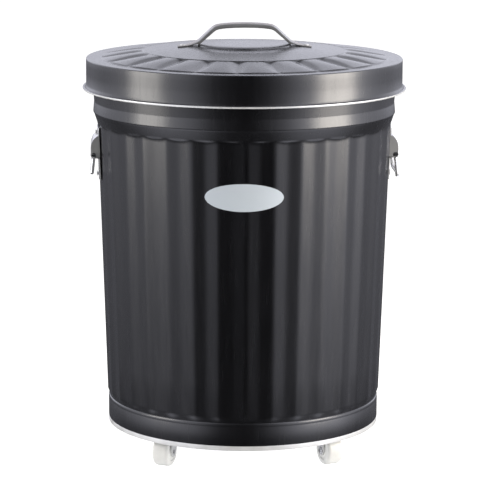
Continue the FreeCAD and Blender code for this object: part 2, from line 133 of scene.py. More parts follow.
class LidSizes(bpy.types.PropertyGroup):
    outer_radius: length("Radius", "Outside of the lid's bead", 0.19486)
    bead_radius: length("Bead", "Half the thickness of the rolled edge", 0.00175)
    flare_width: length("Flare width", "Outside of the skirt to the middle of the bead", 0.0025)
    flare_height: length("Flare height", "Height over which the skirt opens out above the bead", 0.0028)
    top: length("Top", "Height of the lid's top edge over the floor", 0.4781)
    skirt: length("Skirt", "Middle of the bead to the top edge", 0.0358)
    ledge: length("Ledge", "Width of the flat ring inside the top edge", 0.0177)
    rise: length("Rise", "From the flat ring up to the crown's edge", 0.0086)
    crown_radius: length("Crown", "Radius at which the pleats end", 0.124)
    crown_edge: length("Crown edge", "Width of the step down from the crown to the pleats", 0.003)
    crown_step: length("Crown step", "Height of the step down from the crown to the pleats", 0.0009)
    crown_rise: length("Crown rise", "From the crown's edge up to the middle disc", 0.0061)
    disc_radius: length("Disc", "Radius of the middle disc", 0.0565)
    disc_step: length("Disc step", "Height of the step round the middle disc", 0.0011)
    pleat_count: number("Pleat count", "Number of pleats round the lid", 22)
    pleat_phase: angle("Pleat phase", "Turn of the first valley from the middle of the front", -5.9)
    flank: factor("Flank", "Share of a pitch taken by one flank", 0.3)
    pad_edge: length("Pad edge", "Height of a pad's outer edge over the flat ring", 0.0009)
    pad_foot: length("Pad foot", "Width of the step from a pad's outer edge to the flat ring", 0.0014)
    mouth_depth: length("Mouth depth", "Depth of a valley at its outer end", 0.0014)
    throat_depth: length("Throat depth", "Depth of a valley at the crown's edge", 0.0021)
    puff: length("Puff", "How far a pleat's pad swells between its flanks", 0.001)
    edge_round: length("Edge round", "Radius of the lid's top edge", 0.0014)
    crease: length("Crease", "Size of a crease in the sheet, which the small steps are shares of", 0.001)


class HandleSizes(bpy.types.PropertyGroup):
    width: length("Strap width", "Width of the lid's strap handle", 0.019)
    sheet: length("Strap sheet", "Thickness of the strap", 0.0014)
    channel: length("Channel", "Height of the strap's turned-down sides at the grip", 0.0055)
    knee_channel: length("Knee channel", "Height of the turned-down sides at a knee", 0.0046)
    grip_height: length("Grip height", "Top of the grip over the crown disc's edge", 0.0269)
    grip_drop: length("Grip drop", "How far the grip's ends lie under its middle", 0.0028)
    grip_half: length("Grip half", "Half the length of the grip", 0.0365)
    knee_half: length("Knee half", "Middle to where an arm meets its foot", 0.057)
    knee_height: length("Knee height", "Top of the knee over the crown", 0.0052)
    tip_half: length("Tip half", "Middle to the tip of a foot", 0.0806)
    tab: length("Tab", "Length of the flat end of a foot", 0.0104)
    seat: length("Seat", "Gap under a foot of the strap", 0.00005)
    rivet_inset: length("Rivet inset", "Tip of a foot to its rivet", 0.0065)
    rivet_radius: length("Rivet", "Radius of a rivet's head", 0.0036)
    rivet_height: length("Rivet height", "Height of a rivet's domed head", 0.0013)
    rivet_shank: length("Rivet shank", "Radius of a rivet's shank", 0.002)
    rivet_spare: length("Rivet spare", "How much longer a shank is than both sheets", 0.0002)
    rivet_seat: length("Rivet seat", "Lid out to a strap rivet's head, less the strap's sheet", 0.00006)
    ear_sheet: length("Ear sheet", "Thickness of an ear", 0.0012)
    ear_width: length("Ear width", "Width of an ear", 0.05)
    ear_top: length("Ear top", "Height of an ear's top end", 0.3952)
    ear_foot: length("Ear foot", "Height of an ear's lower end", 0.3317)
    ear_tab: length("Ear tab", "Length of an ear's flat upper tab", 0.0094)
    ear_reach: length("Ear reach", "Crest line to the middle of the pivot bar", 0.006)
    ear_rivet_inset: length("Ear rivet inset", "End of an ear to its rivet", 0.0065)
    ear_seat: length("Ear seat", "Gap between an ear and the ribs' crests", 0.0001)
    ear_margin: length("Ear margin", "Width of the strips along an ear's sides", 0.003)
    ear_corner: length("Ear corner", "How far an ear's ends are narrower at each side", 0.0022)
    brow_reach: length("Brow reach", "Upper tab out to the brow of the pocket", 0.005)
    brow_drop: length("Brow drop", "End of the tab down to the brow", 0.0044)
    pocket_reach: length("Pocket reach", "Upper tab out to the front of the pocket", 0.0079)
    pocket_drop: length("Pocket drop", "End of the tab down to the front of the pocket", 0.0115)
    cheek_inset: length("Cheek inset", "Outside of an ear in to the edge of a cheek", 0.0002)
    cheek_gap: length("Cheek gap", "Wall out to the back of a cheek", 0.0003)
    cheek_side: length("Cheek side", "Side of an ear in to the face of a cheek", 0.0001)
    strap_round: length("Strap round", "Rounding of the strap's edges", 0.00035)
    ear_round: length("Ear round", "Rounding of an ear's edges", 0.0003)
    wire: length("Wire", "Radius of a wire handle's wire", 0.00225)
    wire_clearance: length("Wire clearance", "Wire to the inside of the ear's trough", 0.0006)
    wire_side: length("Wire side", "Wire to the ear's edge", 0.0045)
    pivot_height: length("Pivot height", "Height of a wire handle's pivot bar", 0.3627)
    drop: length("Drop", "Pivot bar to grip bar of a wire handle", 0.0365)
    lean: angle("Lean", "Outward lean of a hanging wire handle", 6)
    wire_grip_half: length("Wire grip half", "Half the length of a wire handle's grip bar", 0.039)
    wire_bend: length("Wire bend", "Radius of the bends at the grip, in the wire's middle line", 0.013)
    wire_eye: length("Wire eye", "Radius of the bends beside an ear, in the wire's middle line", 0.0054)


class CasterSizes(bpy.types.PropertyGroup):
    pivot_radius: length("Pivot radius", "Pail's axis to a swivel axis", 0.1324)
    trail: length("Trail", "Swivel axis to the wheel's axis", 0.013)
    wheel_radius: length("Wheel radius", "Radius of a wheel", 0.0175)
    wheel_width: length("Wheel width", "Width of a wheel", 0.02)
    tread_gap: length("Tread gap", "How far the tread stays inside the wheel's radius", 0.00022)
    shoulder: length("Shoulder", "Radius of a wheel's shoulders", 0.0036)
    side_ring: length("Side ring", "Width of the flat ring inside a shoulder", 0.0022)
    groove: length("Groove", "Width of the slope into the side's recess", 0.0006)
    recess: length("Recess", "Depth of the side's recess", 0.0012)
    web: length("Web", "Width of the recess", 0.0042)
    hub_slope: length("Hub slope", "Width of the slope up to the hub", 0.0005)
    hub_rise: length("Hub rise", "Recess out to the face of the hub", 0.001)
    bore_clearance: length("Bore clearance", "Axle to the wheel's bore", 0.00006)
    axle_radius: length("Axle radius", "Radius of an axle", 0.003)
    fork_gap: length("Fork gap", "Half the gap between a fork's arms", 0.0106)
    fork_sheet: length("Fork sheet", "Thickness of a fork", 0.0016)
    axle_end: length("Axle end", "How far the riveted end of an axle stands out", 0.0016)
    axle_head: length("Axle head", "Radius of the riveted end of an axle", 0.0037)
    axle_hollow: length("Axle hollow", "Depth of the hollow in an axle's end", 0.001)


class PailFinish(bpy.types.PropertyGroup):
    paint: colour("Paint", "Satin black paint of the wall and the lid", (0.0026, 0.0026, 0.0032))
    zinc: colour("Zinc", "Galvanised sheet and fittings", (0.66, 0.665, 0.67))
    wire: colour("Wire", "Bright plated wire", (0.56, 0.565, 0.575))
    strap: colour("Strap", "Dull rolled steel of the lid handle", (0.27, 0.275, 0.285))
    wheel: colour("Wheel", "Moulded plastic of the wheels", (0.74, 0.745, 0.735))
    sticker: colour("Sticker", "Blank oval sticker on the front", (0.47, 0.52, 0.575))
    floor: colour("Floor", "Pale floor and backdrop", (0.95, 0.95, 0.95))


# Small steps that every piece is made by

def deselect():
    bpy.ops.object.select_all(action="DESELECT")


def alone(piece):
    deselect()
    piece.select_set(True)
    bpy.context.view_layer.objects.active = piece


def named(name):
    piece = bpy.context.object
    piece.name = name
    piece.data.name = name
    return piece


def edit(piece):
    alone(piece)
    bpy.ops.object.mode_set(mode="EDIT")
    bpy.ops.mesh.select_mode(type="VERT")


def pick_all():
    bpy.ops.mesh.select_all(action="SELECT")


def edit_all(piece):
    edit(piece)
    pick_all()


def leave():
    bpy.ops.object.mode_set(mode="OBJECT")


def pick(test):
    """Selects the vertices whose place passes the test."""
    bpy.ops.mesh.select_all(action="DESELECT")
    mesh = bmesh.from_edit_mesh(bpy.context.object.data)
    for vertex in mesh.verts:
        if test(vertex.co):
            vertex.select = True
    mesh.select_flush(True)
    bmesh.update_edit_mesh(bpy.context.object.data)


def pick_faces(test):
    """Selects the faces whose middle and normal pass the test."""
    bpy.ops.mesh.select_mode(type="FACE")
    bpy.ops.mesh.select_all(action="DESELECT")
    mesh = bmesh.from_edit_mesh(bpy.context.object.data)
    for face in mesh.faces:
        if test(face.calc_center_median(), face.normal):
            face.select = True
    mesh.select_flush(True)
    bmesh.update_edit_mesh(bpy.context.object.data)


def move(x=0.0, y=0.0, z=0.0):
    bpy.ops.transform.translate(value=(x, y, z))


def extruded(x=0.0, y=0.0, z=0.0):
    bpy.ops.mesh.extrude_region_move(TRANSFORM_OT_translate={"value": (x, y, z)})


def resized(x=1.0, y=1.0, z=1.0, centre=(0, 0, 0)):
    bpy.ops.transform.resize(value=(x, y, z), center_override=centre)


def clean(reach=SAME_PLACE):
    """Merges doubles and turns all faces outward."""
    pick_all()
    bpy.ops.mesh.remove_doubles(threshold=reach)
    bpy.ops.mesh.normals_make_consistent(inside=False)


def traced(name, points):
    """A new piece that is one line through the points, left in edit mode with all of it selected."""
    deselect()
    bpy.ops.mesh.primitive_plane_add(size=SEED_SIZE, location=(0, 0, 0))
    piece = named(name)
    edit_all(piece)
    bpy.ops.mesh.merge(type="CENTER")
    points = [Vector(p) for p in points]
    move(*points[0])
    for before, after in zip(points, points[1:]):
        step = {"value": tuple(after - before)}
        bpy.ops.mesh.extrude_vertices_move(TRANSFORM_OT_translate=step)
    pick_all()
    return piece


def at_angle(radius, turn, height):
    """A place at an angle from the middle of the front, positive towards the right side."""
    return Vector((radius * math.sin(turn), -radius * math.cos(turn), height))


def turned(name, profile, turn, steps):
    """A piece spun from (radius, height) points, left in edit mode."""
    piece = traced(name, [at_angle(r, turn, z) for r, z in profile])
    bpy.ops.mesh.spin(steps=steps, angle=FULL_TURN, center=(0, 0, 0), axis=(0, 0, 1))
    clean()
    return piece


def modified(piece, kind, **values):
    alone(piece)
    bpy.ops.object.modifier_add(type=kind)
    modifier = piece.modifiers[-1]
    for key, value in values.items():
        setattr(modifier, key, value)
    bpy.ops.object.modifier_apply(modifier=modifier.name)


def faced(piece, direction):
    """Turns an open skin over if it looks away from the direction."""
    if sum(face.normal.dot(direction) for face in piece.data.polygons) < 0:
        edit_all(piece)
        bpy.ops.mesh.flip_normals()
        leave()


def given_sheet(piece, thickness):
    """Turns a skin into sheet of a thickness, added on its inner side."""
    modified(piece, "SOLIDIFY", thickness=thickness, offset=-1, use_even_offset=True)


def rounded(piece, width):
    """Rounds the sharp edges of a piece of sheet."""
    modified(piece, "BEVEL", width=width, segments=2, limit_method="ANGLE", angle_limit=math.radians(50))


def smooth(piece, degrees=32):
    alone(piece)
    bpy.ops.object.shade_smooth_by_angle(angle=math.radians(degrees))


def settled(piece, body, slot, nodes, *finishes):
    """Gives a piece its finishes, its body and the nodes it stands for."""
    piece.data.materials.clear()
    for name in finishes:
        piece.data.materials.append(finish_of(name))
    alone(piece)
    bpy.ops.object.transform_apply(location=True, rotation=True, scale=True)
    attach(piece, body)
    if nodes:
        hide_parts(*nodes)


def copied(piece, name):
    """A copy with a mesh of its own."""
    alone(piece)
    bpy.ops.object.duplicate(linked=False)
    return named(name)


def turned_about(piece, turn, axis="Z", centre=(0, 0, 0)):
    """Turns a piece about a line along an axis, against the operator's own sense."""
    edit_all(piece)
    bpy.ops.transform.rotate(value=-turn, orient_axis=axis, orient_type="GLOBAL", center_override=centre)
    leave()


def shifted(piece, x=0.0, y=0.0):
    edit_all(piece)
    move(x, y)
    leave()


def station(place, phase, count, stations):
    """Steps to the nearest crest or valley, on a ring of repeats with so many stations each."""
    pitch = FULL_TURN / (count * stations)
    k = round((math.atan2(place.x, -place.y) - phase) / pitch) % stations
    return min(k, stations - k)


def arc(centre, radius, first, last, steps):
    """Points of an arc in the (radius, height) plane, in degrees from outwards."""
    points = []
    for k in range(steps + 1):
        a = math.radians(first + (last - first) * k / steps)
        points.append((centre[0] + radius * math.cos(a), centre[1] + radius * math.sin(a)))
    return points


# Finishes

def node_of(tree, kind, values=None):
    """A new node with these values at its inputs."""
    node = tree.nodes.new("ShaderNode" + kind)
    return given(node, values or {})


def given(node, values):
    for socket, value in values.items():
        node.inputs[socket].default_value = value
    return node


def new_finish(name, values):
    """A new material with these values at its shader's inputs."""
    finish = bpy.data.materials.new(name)
    finish.use_nodes = True
    tree = finish.node_tree
    return tree, given(tree.nodes["Principled BSDF"], values)


def noise(tree, scale, detail=2.0, stretch=(1, 1, 1)):
    """A noise on the piece's own coordinates."""
    place = node_of(tree, "TexCoord")
    mapping = node_of(tree, "Mapping", {"Scale": stretch})
    texture = node_of(tree, "TexNoise", {"Scale": scale, "Detail": detail})
    tree.links.new(place.outputs["Object"], mapping.inputs["Vector"])
    tree.links.new(mapping.outputs["Vector"], texture.inputs["Vector"])
    return texture.outputs["Fac"]


def ranged(tree, source, low, high, start=0.3, end=0.7):
    """Goes from low to high while the source goes from start to end."""
    ramp = node_of(tree, "MapRange", {"From Min": start, "From Max": end, "To Min": low, "To Max": high})
    tree.links.new(source, ramp.inputs["Value"])
    return ramp.outputs["Result"]


def blended(tree, source, tint, dark, bright):
    """The tint, darker where the source is low and brighter where it is high."""
    ramp = node_of(tree, "ValToRGB")
    for element, position, factor in zip(ramp.color_ramp.elements, (0.3, 0.7), (dark, bright)):
        element.position = position
        element.color = (*(min(1.0, c * factor) for c in tint), 1)
    tree.links.new(source, ramp.inputs["Fac"])
    return ramp.outputs["Color"]


def bumped(tree, shader, layers):
    """Stacks bumps, each (height output, strength, distance in metres)."""
    before = None
    for height, strength, distance in layers:
        bump = node_of(tree, "Bump", {"Strength": strength, "Distance": distance})
        tree.links.new(height, bump.inputs["Height"])
        if before:
            tree.links.new(before, bump.inputs["Normal"])
        before = bump.outputs["Normal"]
    tree.links.new(before, shader.inputs["Normal"])


def make_paint(tint):
    tree, shader = new_finish("satin_black_paint", {"Specular IOR Level": 0.55})
    dents = noise(tree, scale=9, stretch=(1, 1, 0.35))
    peel = noise(tree, scale=700, detail=1)
    cloud = noise(tree, scale=14, detail=4)
    rubs = noise(tree, scale=240, stretch=(1, 1, 0.08))
    tree.links.new(blended(tree, cloud, tint, 0.85, 1.2), shader.inputs["Base Color"])
    tree.links.new(ranged(tree, rubs, low=0.23, high=0.28), shader.inputs["Roughness"])
    bumped(tree, shader, [(dents, 0.35, 0.0008), (peel, 0.06, 0.00005)])


def make_zinc(tint, name="galvanised_sheet", grain=90, low=0.26, high=0.42, metal=0.45):
    tree, shader = new_finish(name, {"Metallic": metal})
    place = node_of(tree, "TexCoord")
    spangle = node_of(tree, "TexVoronoi", {"Scale": grain})
    tree.links.new(place.outputs["Object"], spangle.inputs["Vector"])
    cloud = noise(tree, scale=30, detail=3)
    tree.links.new(blended(tree, cloud, tint, 0.86, 1.06), shader.inputs["Base Color"])
    rough = ranged(tree, spangle.outputs["Distance"], low, high, start=0.0, end=0.8)
    tree.links.new(rough, shader.inputs["Roughness"])
    bumped(tree, shader, [(cloud, 0.1, 0.0003)])


def make_strap_steel(tint):
    """Dull rolled steel with a fine tooth on its upper face; faces that look up get a warmer tint, which is
    painted warm light, and the turned-down sides stay cooler.
    """
    tree, shader = new_finish("dull_strap_steel", {"Metallic": 0.6})
    cloud = noise(tree, scale=70, detail=3)
    tooth = noise(tree, scale=900, detail=3, stretch=(0.35, 1, 1))
    place = node_of(tree, "NewGeometry")
    split = node_of(tree, "SeparateXYZ")
    tree.links.new(place.outputs["Normal"], split.inputs["Vector"])
    # Share of a face that looks up: it makes the upper faces rougher and gives them a warmer tint, that tint
    # being painted warm light
    top_face_and_painted_light = ranged(tree, split.outputs["Z"], low=0.0, high=1.0, start=0.55, end=0.9)
    painted_warm_light_tint = (tint[0] * 1.08, tint[1], tint[2] * 0.93)
    # Faces that look up are mixed to the warm tint: painted warm light on the strap's top
    mix = node_of(tree, "Mix")
    mix.data_type = "RGBA"
    tree.links.new(top_face_and_painted_light, mix.inputs["Factor"])
    tree.links.new(blended(tree, cloud, tint, 0.9, 1.1), mix.inputs["A"])
    tree.links.new(blended(tree, tooth, painted_warm_light_tint, 0.72, 1.3), mix.inputs["B"])
    tree.links.new(mix.outputs["Result"], shader.inputs["Base Color"])
    rough = ranged(tree, top_face_and_painted_light, low=0.3, high=0.5, start=0.0, end=1.0)
    tree.links.new(rough, shader.inputs["Roughness"])
    bumped(tree, shader, [(tooth, 0.25, 0.0002)])


def make_wheel_plastic(tint):
    tree, shader = new_finish("moulded_wheel_plastic", {
        "Roughness": 0.42,
        "Subsurface Weight": 0.25,
        "Subsurface Radius": (0.004, 0.004, 0.004),
    })
    cloud = noise(tree, scale=60, detail=3)
    grain = noise(tree, scale=1500, detail=1)
    tree.links.new(blended(tree, cloud, tint, 0.93, 1.05), shader.inputs["Base Color"])
    bumped(tree, shader, [(grain, 0.08, 0.00005)])


def make_sticker_foil(tint):
    tree, shader = new_finish("blank_oval_foil", {"Roughness": 0.45, "Metallic": 0.15})
    cloud = noise(tree, scale=22)
    tree.links.new(blended(tree, cloud, tint, 0.97, 1.04), shader.inputs["Base Color"])
    bumped(tree, shader, [(cloud, 0.05, 0.0003)])


def make_floor_finish(tint):
    tree, shader = new_finish("pale_floor", {
        "Roughness": 0.9,
        "Specular IOR Level": 0.1,
        "Emission Color": (1, 1, 1, 1),
        "Emission Strength": 0.62,
    })
    cloud = noise(tree, scale=3)
    tree.links.new(blended(tree, cloud, tint, 0.995, 1.0), shader.inputs["Base Color"])


def finish_of(name):
    """The finish of that name, made the first time that a piece asks for it."""
    if name not in bpy.data.materials:
        tints = bpy.context.scene.pail_finish
        makers = {
            "satin_black_paint": lambda: make_paint(tints.paint),
            "galvanised_sheet": lambda: make_zinc(tints.zinc),
            "plated_wire": lambda: make_zinc(tints.wire, name="plated_wire", grain=400, low=0.16, high=0.26,
                                             metal=0.65),
            "dull_strap_steel": lambda: make_strap_steel(tints.strap),
            "moulded_wheel_plastic": lambda: make_wheel_plastic(tints.wheel),
            "blank_oval_foil": lambda: make_sticker_foil(tints.sticker),
            "pale_floor": lambda: make_floor_finish(tints.floor),
        }
        makers[name]()
    return bpy.data.materials[name]


# Pail wall and pan

RIB_STATIONS = 12    # steps round the wall from one crest to the next
RIB_ROWS = 8
BEAD_STEPS = 16
PAN_SIDES = 272

# Share of the height over which the grooves begin or end, and the share of their depth there
RUN_IN_SHARES = ((0.3, 0.18), (0.6, 0.62), (0.85, 0.93), (1.0, 1.0))
RUN_OUT_SHARES = ((0.35, 0.98), (0.6, 0.86), (0.78, 0.6), (0.92, 0.22))


def crest_radius(height):
    wall = bpy.context.scene.pail_wall
    start = wall.foot + wall.band + wall.neck
    share = (height - start) / wall.ribs
    return wall.rib_foot_radius + share * (wall.rib_head_radius - wall.rib_foot_radius)


def rib_section(wall):
    """Radius shares from a crest to the next valley, with both creases rounded."""
    half = math.pi / wall.rib_count
    low = 1 - wall.rib_depth / wall.rib_head_radius
    crest = Vector((1, 0))
    across = Vector((low * math.cos(half), low * math.sin(half))) - crest
    shares = []
    for k in range(RIB_STATIONS // 2 + 1):
        a = half * k / (RIB_STATIONS // 2)
        ray = Vector((math.cos(a), math.sin(a)))
        shares.append((crest.x * across.y - crest.y * across.x) / (ray.x * across.y - ray.y * across.x))
    shares[0] = (shares[0] + shares[1]) / 2
    shares[-1] = (shares[-1] + shares[-2]) / 2
    return shares


def wall_profile(wall):
    """Outer line of the wall from the foot to the rolled rim, and the depth share of its ribbed rows."""
    crease = wall.crease
    band_top = wall.foot + wall.band
    start = band_top + wall.neck
    end = start + wall.ribs
    hoop_low = end + wall.flare
    hoop_high = hoop_low + wall.hoop
    rim = hoop_high + wall.collar
    line = [
        (wall.band_radius - 0.12 * crease, wall.foot + wall.sheet),
        (wall.band_radius - 0.12 * crease, wall.foot + wall.hem),
        (wall.band_radius, wall.foot + wall.hem + 0.6 * crease),
        (wall.band_radius, band_top - 0.6 * crease),
        (wall.band_radius - 0.16 * crease, band_top),
        (wall.band_radius - 0.12 * crease, band_top + 0.6 * crease),
        (wall.band_radius - 0.14 * crease, start - 1.3 * crease),
        (wall.band_radius - 0.34 * crease, start - 0.7 * crease),
        (wall.neck_radius + 0.3 * crease, start - 0.1 * crease),
        (wall.neck_radius, start + 0.3 * crease),
    ]
    fades = {}
    for share, fade in RUN_IN_SHARES:
        height = start + wall.run_in * share
        line.append((wall.neck_radius + (crest_radius(height) - wall.neck_radius) * fade, height))
        fades[round(height, 6)] = fade
    ribs_high = end - wall.run_out
    for k in range(1, RIB_ROWS + 1):
        height = start + wall.run_in + (ribs_high - start - wall.run_in) * k / RIB_ROWS
        line.append((crest_radius(height), height))
        fades[round(height, 6)] = 1.0
    for share, fade in RUN_OUT_SHARES:
        height = ribs_high + wall.run_out * share
        line.append((crest_radius(height), height))
        fades[round(height, 6)] = fade
    slope = (wall.collar_radius - wall.rib_head_radius) / wall.flare
    widest = wall.collar_radius + wall.hoop_bulge
    crest = hoop_low + wall.hoop_crest
    rim_radius = wall.collar_radius + wall.collar_flare
    line += [
        (wall.rib_head_radius, end),
        (wall.rib_head_radius + crease * slope, end + crease),
        (wall.collar_radius - 0.4 * crease * slope, hoop_low - 0.4 * crease),
        (wall.collar_radius + 0.2 * crease, hoop_low + 0.3 * crease),
        (widest - 0.2 * crease, crest - 0.6 * crease),
        (widest, crest),
        (widest - 0.06 * crease, crest + 0.6 * crease),
        (wall.collar_radius + 0.12 * crease, hoop_high - 0.4 * crease),
        (wall.collar_radius, hoop_high + 0.3 * crease),
        (wall.collar_radius, hoop_high + 1.2 * crease),
        (wall.collar_radius + 0.8 * wall.collar_flare, hoop_high + wall.collar_bend),
        (rim_radius, rim - 2 * wall.bead_radius),
    ]
    centre = (rim_radius - wall.sheet + wall.bead_radius, rim)
    return line + arc(centre, wall.bead_radius, 180, -150, BEAD_STEPS), fades


def form_ribs(wall, fades):
    """Presses the grooves, row by row and station by station."""
    shares = rib_section(wall)
    for height, fade in fades.items():
        for k in range(RIB_STATIONS // 2 + 1):
            pick(lambda v: abs(v.z - height) < ROW_REACH
                 and station(v, wall.rib_phase, wall.rib_count, RIB_STATIONS) == k)
            share = 1 - (1 - shares[k]) * fade
            resized(share, share)


class PAIL_OT_wall(bpy.types.Operator):
    """Spins the pail's wall and presses its ribs, hoop and rolled rim"""
    bl_idname = "pail.wall"
    bl_label = "Pail wall"

    def execute(self, context):
        wall = context.scene.pail_wall
        profile, fades = wall_profile(wall)
        piece = turned("pail_wall", profile, wall.rib_phase, wall.rib_count * RIB_STATIONS)
        form_ribs(wall, fades)
        clean()
        leave()
        given_sheet(piece, wall.sheet)
        smooth(piece, 28)
        settled(piece, "can", "black_paint", ["can_shell"], "satin_black_paint")
        return {"FINISHED"}


def pan_profile(wall):
    """Both sides of the pan's sheet, from the middle of its underside out, round the hem and back."""
    crease = wall.crease
    hem = wall.band_radius + wall.sheet
    flange = wall.band_radius - 2 * wall.sheet
    inside = wall.band_radius - wall.sheet
    under = wall.pan_height
    floor = under + wall.sheet
    return [
        (0.0, under),
        (wall.pan_ring, under),
        (flange - 12 * crease, under),
        (flange - 2 * crease, under),
        (flange - 0.5 * crease, under - 0.5 * crease),
        (flange, under - 2 * crease),
        (flange, wall.foot + 2 * crease),
        (flange + 0.2 * crease, wall.foot + 0.4 * crease),
        (flange + 0.6 * crease, wall.foot),
        (hem - 0.5 * crease, wall.foot),
        (hem - 0.1 * crease, wall.foot + 0.2 * crease),
        (hem, wall.foot + 0.7 * crease),
        (hem, wall.foot + wall.hem - 0.3 * crease),
        (hem - 0.3 * crease, wall.foot + wall.hem),
        (wall.band_radius, wall.foot + wall.hem),
        (wall.band_radius, wall.foot + wall.sheet),
        (inside, wall.foot + wall.sheet),
        (inside, floor - crease),
        (inside - crease, floor),
        (wall.pan_ring, floor),
        (0.0, floor),
    ]


class PAIL_OT_pan(bpy.types.Operator):
    """Spins the bottom pan with its bright hem folded round the foot"""
    bl_idname = "pail.pan"
    bl_label = "Bottom pan"

    def execute(self, context):
        piece = turned("bottom_pan_hemmed", pan_profile(context.scene.pail_wall), 0.0, PAN_SIDES)
        leave()
        smooth(piece, 30)
        settled(piece, "can", "galvanised_steel", ["bottom_pan"], "galvanised_sheet")
        return {"FINISHED"}


STICKER_COLUMNS = 48
STICKER_ROWS = 8
FORMER_SIDES = 340


class PAIL_OT_sticker(bpy.types.Operator):
    """Lays the blank oval sticker over the crests of the ribs at the front"""
    bl_idname = "pail.sticker"
    bl_label = "Blank sticker"

    def execute(self, context):
        size = context.scene.pail_sticker
        low = size.height - size.spare
        high = size.height + size.spare
        deselect()
        bpy.ops.mesh.primitive_cone_add(vertices=FORMER_SIDES, depth=high - low, end_fill_type="NOTHING",
                                        radius1=crest_radius(low) + size.lift,
                                        radius2=crest_radius(high) + size.lift, location=(0, 0, size.height))
        former = named("sticker_former")
        deselect()
        bpy.ops.mesh.primitive_grid_add(x_subdivisions=STICKER_COLUMNS, y_subdivisions=STICKER_ROWS, size=1,
                                        location=(0, 0, 0))
        piece = named("oval_sticker")
        edit(piece)
        for k in range(STICKER_COLUMNS + 1):
            column = k / STICKER_COLUMNS - 0.5
            across = -math.cos(math.pi * k / STICKER_COLUMNS)
            tall = max(size.end, math.sqrt(max(0.0, 1 - across * across)))
            pick(lambda v: abs(v.x - column) < GRID_REACH and abs(v.z) < SAME_PLACE)
            resized(y=tall * size.tall)
            move(x=across * size.half_width - column, z=1)
        pick_all()
        move(z=-1)
        bpy.ops.transform.rotate(value=-QUARTER_TURN, orient_axis="X", orient_type="GLOBAL",
                                 center_override=(0, 0, 0))
        move(*at_angle(crest_radius(size.height) + size.ahead, size.turn, size.height))
        clean()
        leave()
        modified(piece, "SHRINKWRAP", target=former, wrap_method="NEAREST_SURFACEPOINT", offset=0)
        bpy.data.objects.remove(former)
        edit(piece)
        clean()
        leave()
        faced(piece, Vector((0, -1, 0)))
        modified(piece, "SOLIDIFY", thickness=size.sheet, offset=1)
        smooth(piece, 40)
        settled(piece, "can", "galvanised_steel", [], "blank_oval_foil")
        return {"FINISHED"}


# Lid and its handle

PLEAT_STATIONS = 20    # steps round the lid from one valley to the next
PLEAT_ROWS = 9
EDGE_STEPS = 5
DISC_RING = 0.03           # ring of edges on the flat disc
CROWN_RINGS = (0.08, 0.1)  # rings of edges on the crown

# Across the crown's edge: share of its width, height in half steps, and share of the throat's depth
CROWN_EDGE_SHARES = ((0.25, 0.7, 0.0), (0.6, -0.84, 0.35), (1.0, -1.0, 0.8))
FLANK_LOSS_SHARE = 0.66    # how much of a flank's width is gone at the mouth
FLANK_POWER = 1.6          # how late it goes
VALLEY_POWER = 1.25        # how hollow a flank is


def crown_top(radius):
    lid = bpy.context.scene.pail_lid
    inner = lid.crown_radius - lid.crown_edge
    share = (inner - radius) / (inner - lid.disc_radius)
    return lid.top + lid.rise + share * lid.crown_rise


def crown_profile(lid):
    """Outer line of the lid's disc and crown, from the middle out."""
    crease = lid.crease
    disc = lid.top + lid.rise + lid.crown_rise
    high = disc + lid.disc_step
    inner = lid.crown_radius - lid.crown_edge
    line = [
        (0.0, high),
        (DISC_RING, high),
        (lid.disc_radius - 1.3 * crease, high),
        (lid.disc_radius - 0.7 * crease, high - 0.25 * crease),
        (lid.disc_radius - 0.3 * crease, disc + 0.1 * crease),
        (lid.disc_radius + 0.1 * crease, disc - 0.2 * crease),
        (lid.disc_radius + 0.9 * crease, disc - 0.05 * crease),
    ]
    return line + [(radius, crown_top(radius)) for radius in (*CROWN_RINGS, inner - crease, inner)]


def lid_profile(lid):
    """Outer line of the lid from its middle to the rolled edge, and the form of its pleated rows.

    A row's form is the depth of its valleys, the share of a pitch taken by a flank, and a pad's swell.
    """
    bead = lid.outer_radius - lid.bead_radius
    skirt = bead - lid.flare_width
    ledge = skirt - lid.ledge
    foot = ledge - lid.pad_foot
    crown = lid.top + lid.rise
    inner = lid.crown_radius - lid.crown_edge
    half_step = lid.crown_step / 2
    line = crown_profile(lid)
    forms = {}
    for share, height, depth in CROWN_EDGE_SHARES:
        radius = inner + lid.crown_edge * share
        line.append((radius, crown + half_step * height))
        forms[round(radius, 6)] = (lid.throat_depth * depth, lid.flank, 0.0)
    pad_end = lid.top + lid.pad_edge
    for k in range(1, PLEAT_ROWS + 1):
        share = k / PLEAT_ROWS
        radius = lid.crown_radius + (foot - lid.crown_radius) * share
        line.append((radius, (crown - half_step) * (1 - share) + pad_end * share))
        depth = lid.throat_depth + (lid.mouth_depth - lid.throat_depth) * share
        if k == PLEAT_ROWS:
            depth = lid.pad_edge * 0.5
        swell = lid.puff * math.sin(math.pi * (0.1 + 0.75 * share))
        forms[round(radius, 6)] = (depth, lid.flank * (1 - FLANK_LOSS_SHARE * share ** FLANK_POWER), swell)
    radius = foot + lid.pad_foot * 0.5
    line.append((radius, lid.top + lid.pad_edge * 0.4))
    forms[round(radius, 6)] = (lid.pad_edge * 0.2, lid.flank * (1 - FLANK_LOSS_SHARE), 0.0)
    line.append((ledge, lid.top))
    line.append((ledge + 0.8 * lid.crease, lid.top - 0.1 * lid.crease))
    line.append((skirt - 2 * lid.crease, lid.top))
    line += arc((skirt - lid.edge_round, lid.top - lid.edge_round), lid.edge_round, 80, 0, EDGE_STEPS)
    line += [(skirt, lid.top - 8 * lid.crease), (skirt, lid.top - 18 * lid.crease)]
    low = lid.top - lid.skirt
    line.append((skirt, low + lid.bead_radius + lid.flare_height))
    line.append((skirt + 0.3 * lid.crease, low + lid.bead_radius + lid.flare_height * 0.6))
    return line + arc((bead, low), lid.bead_radius, 135, -180, BEAD_STEPS), forms


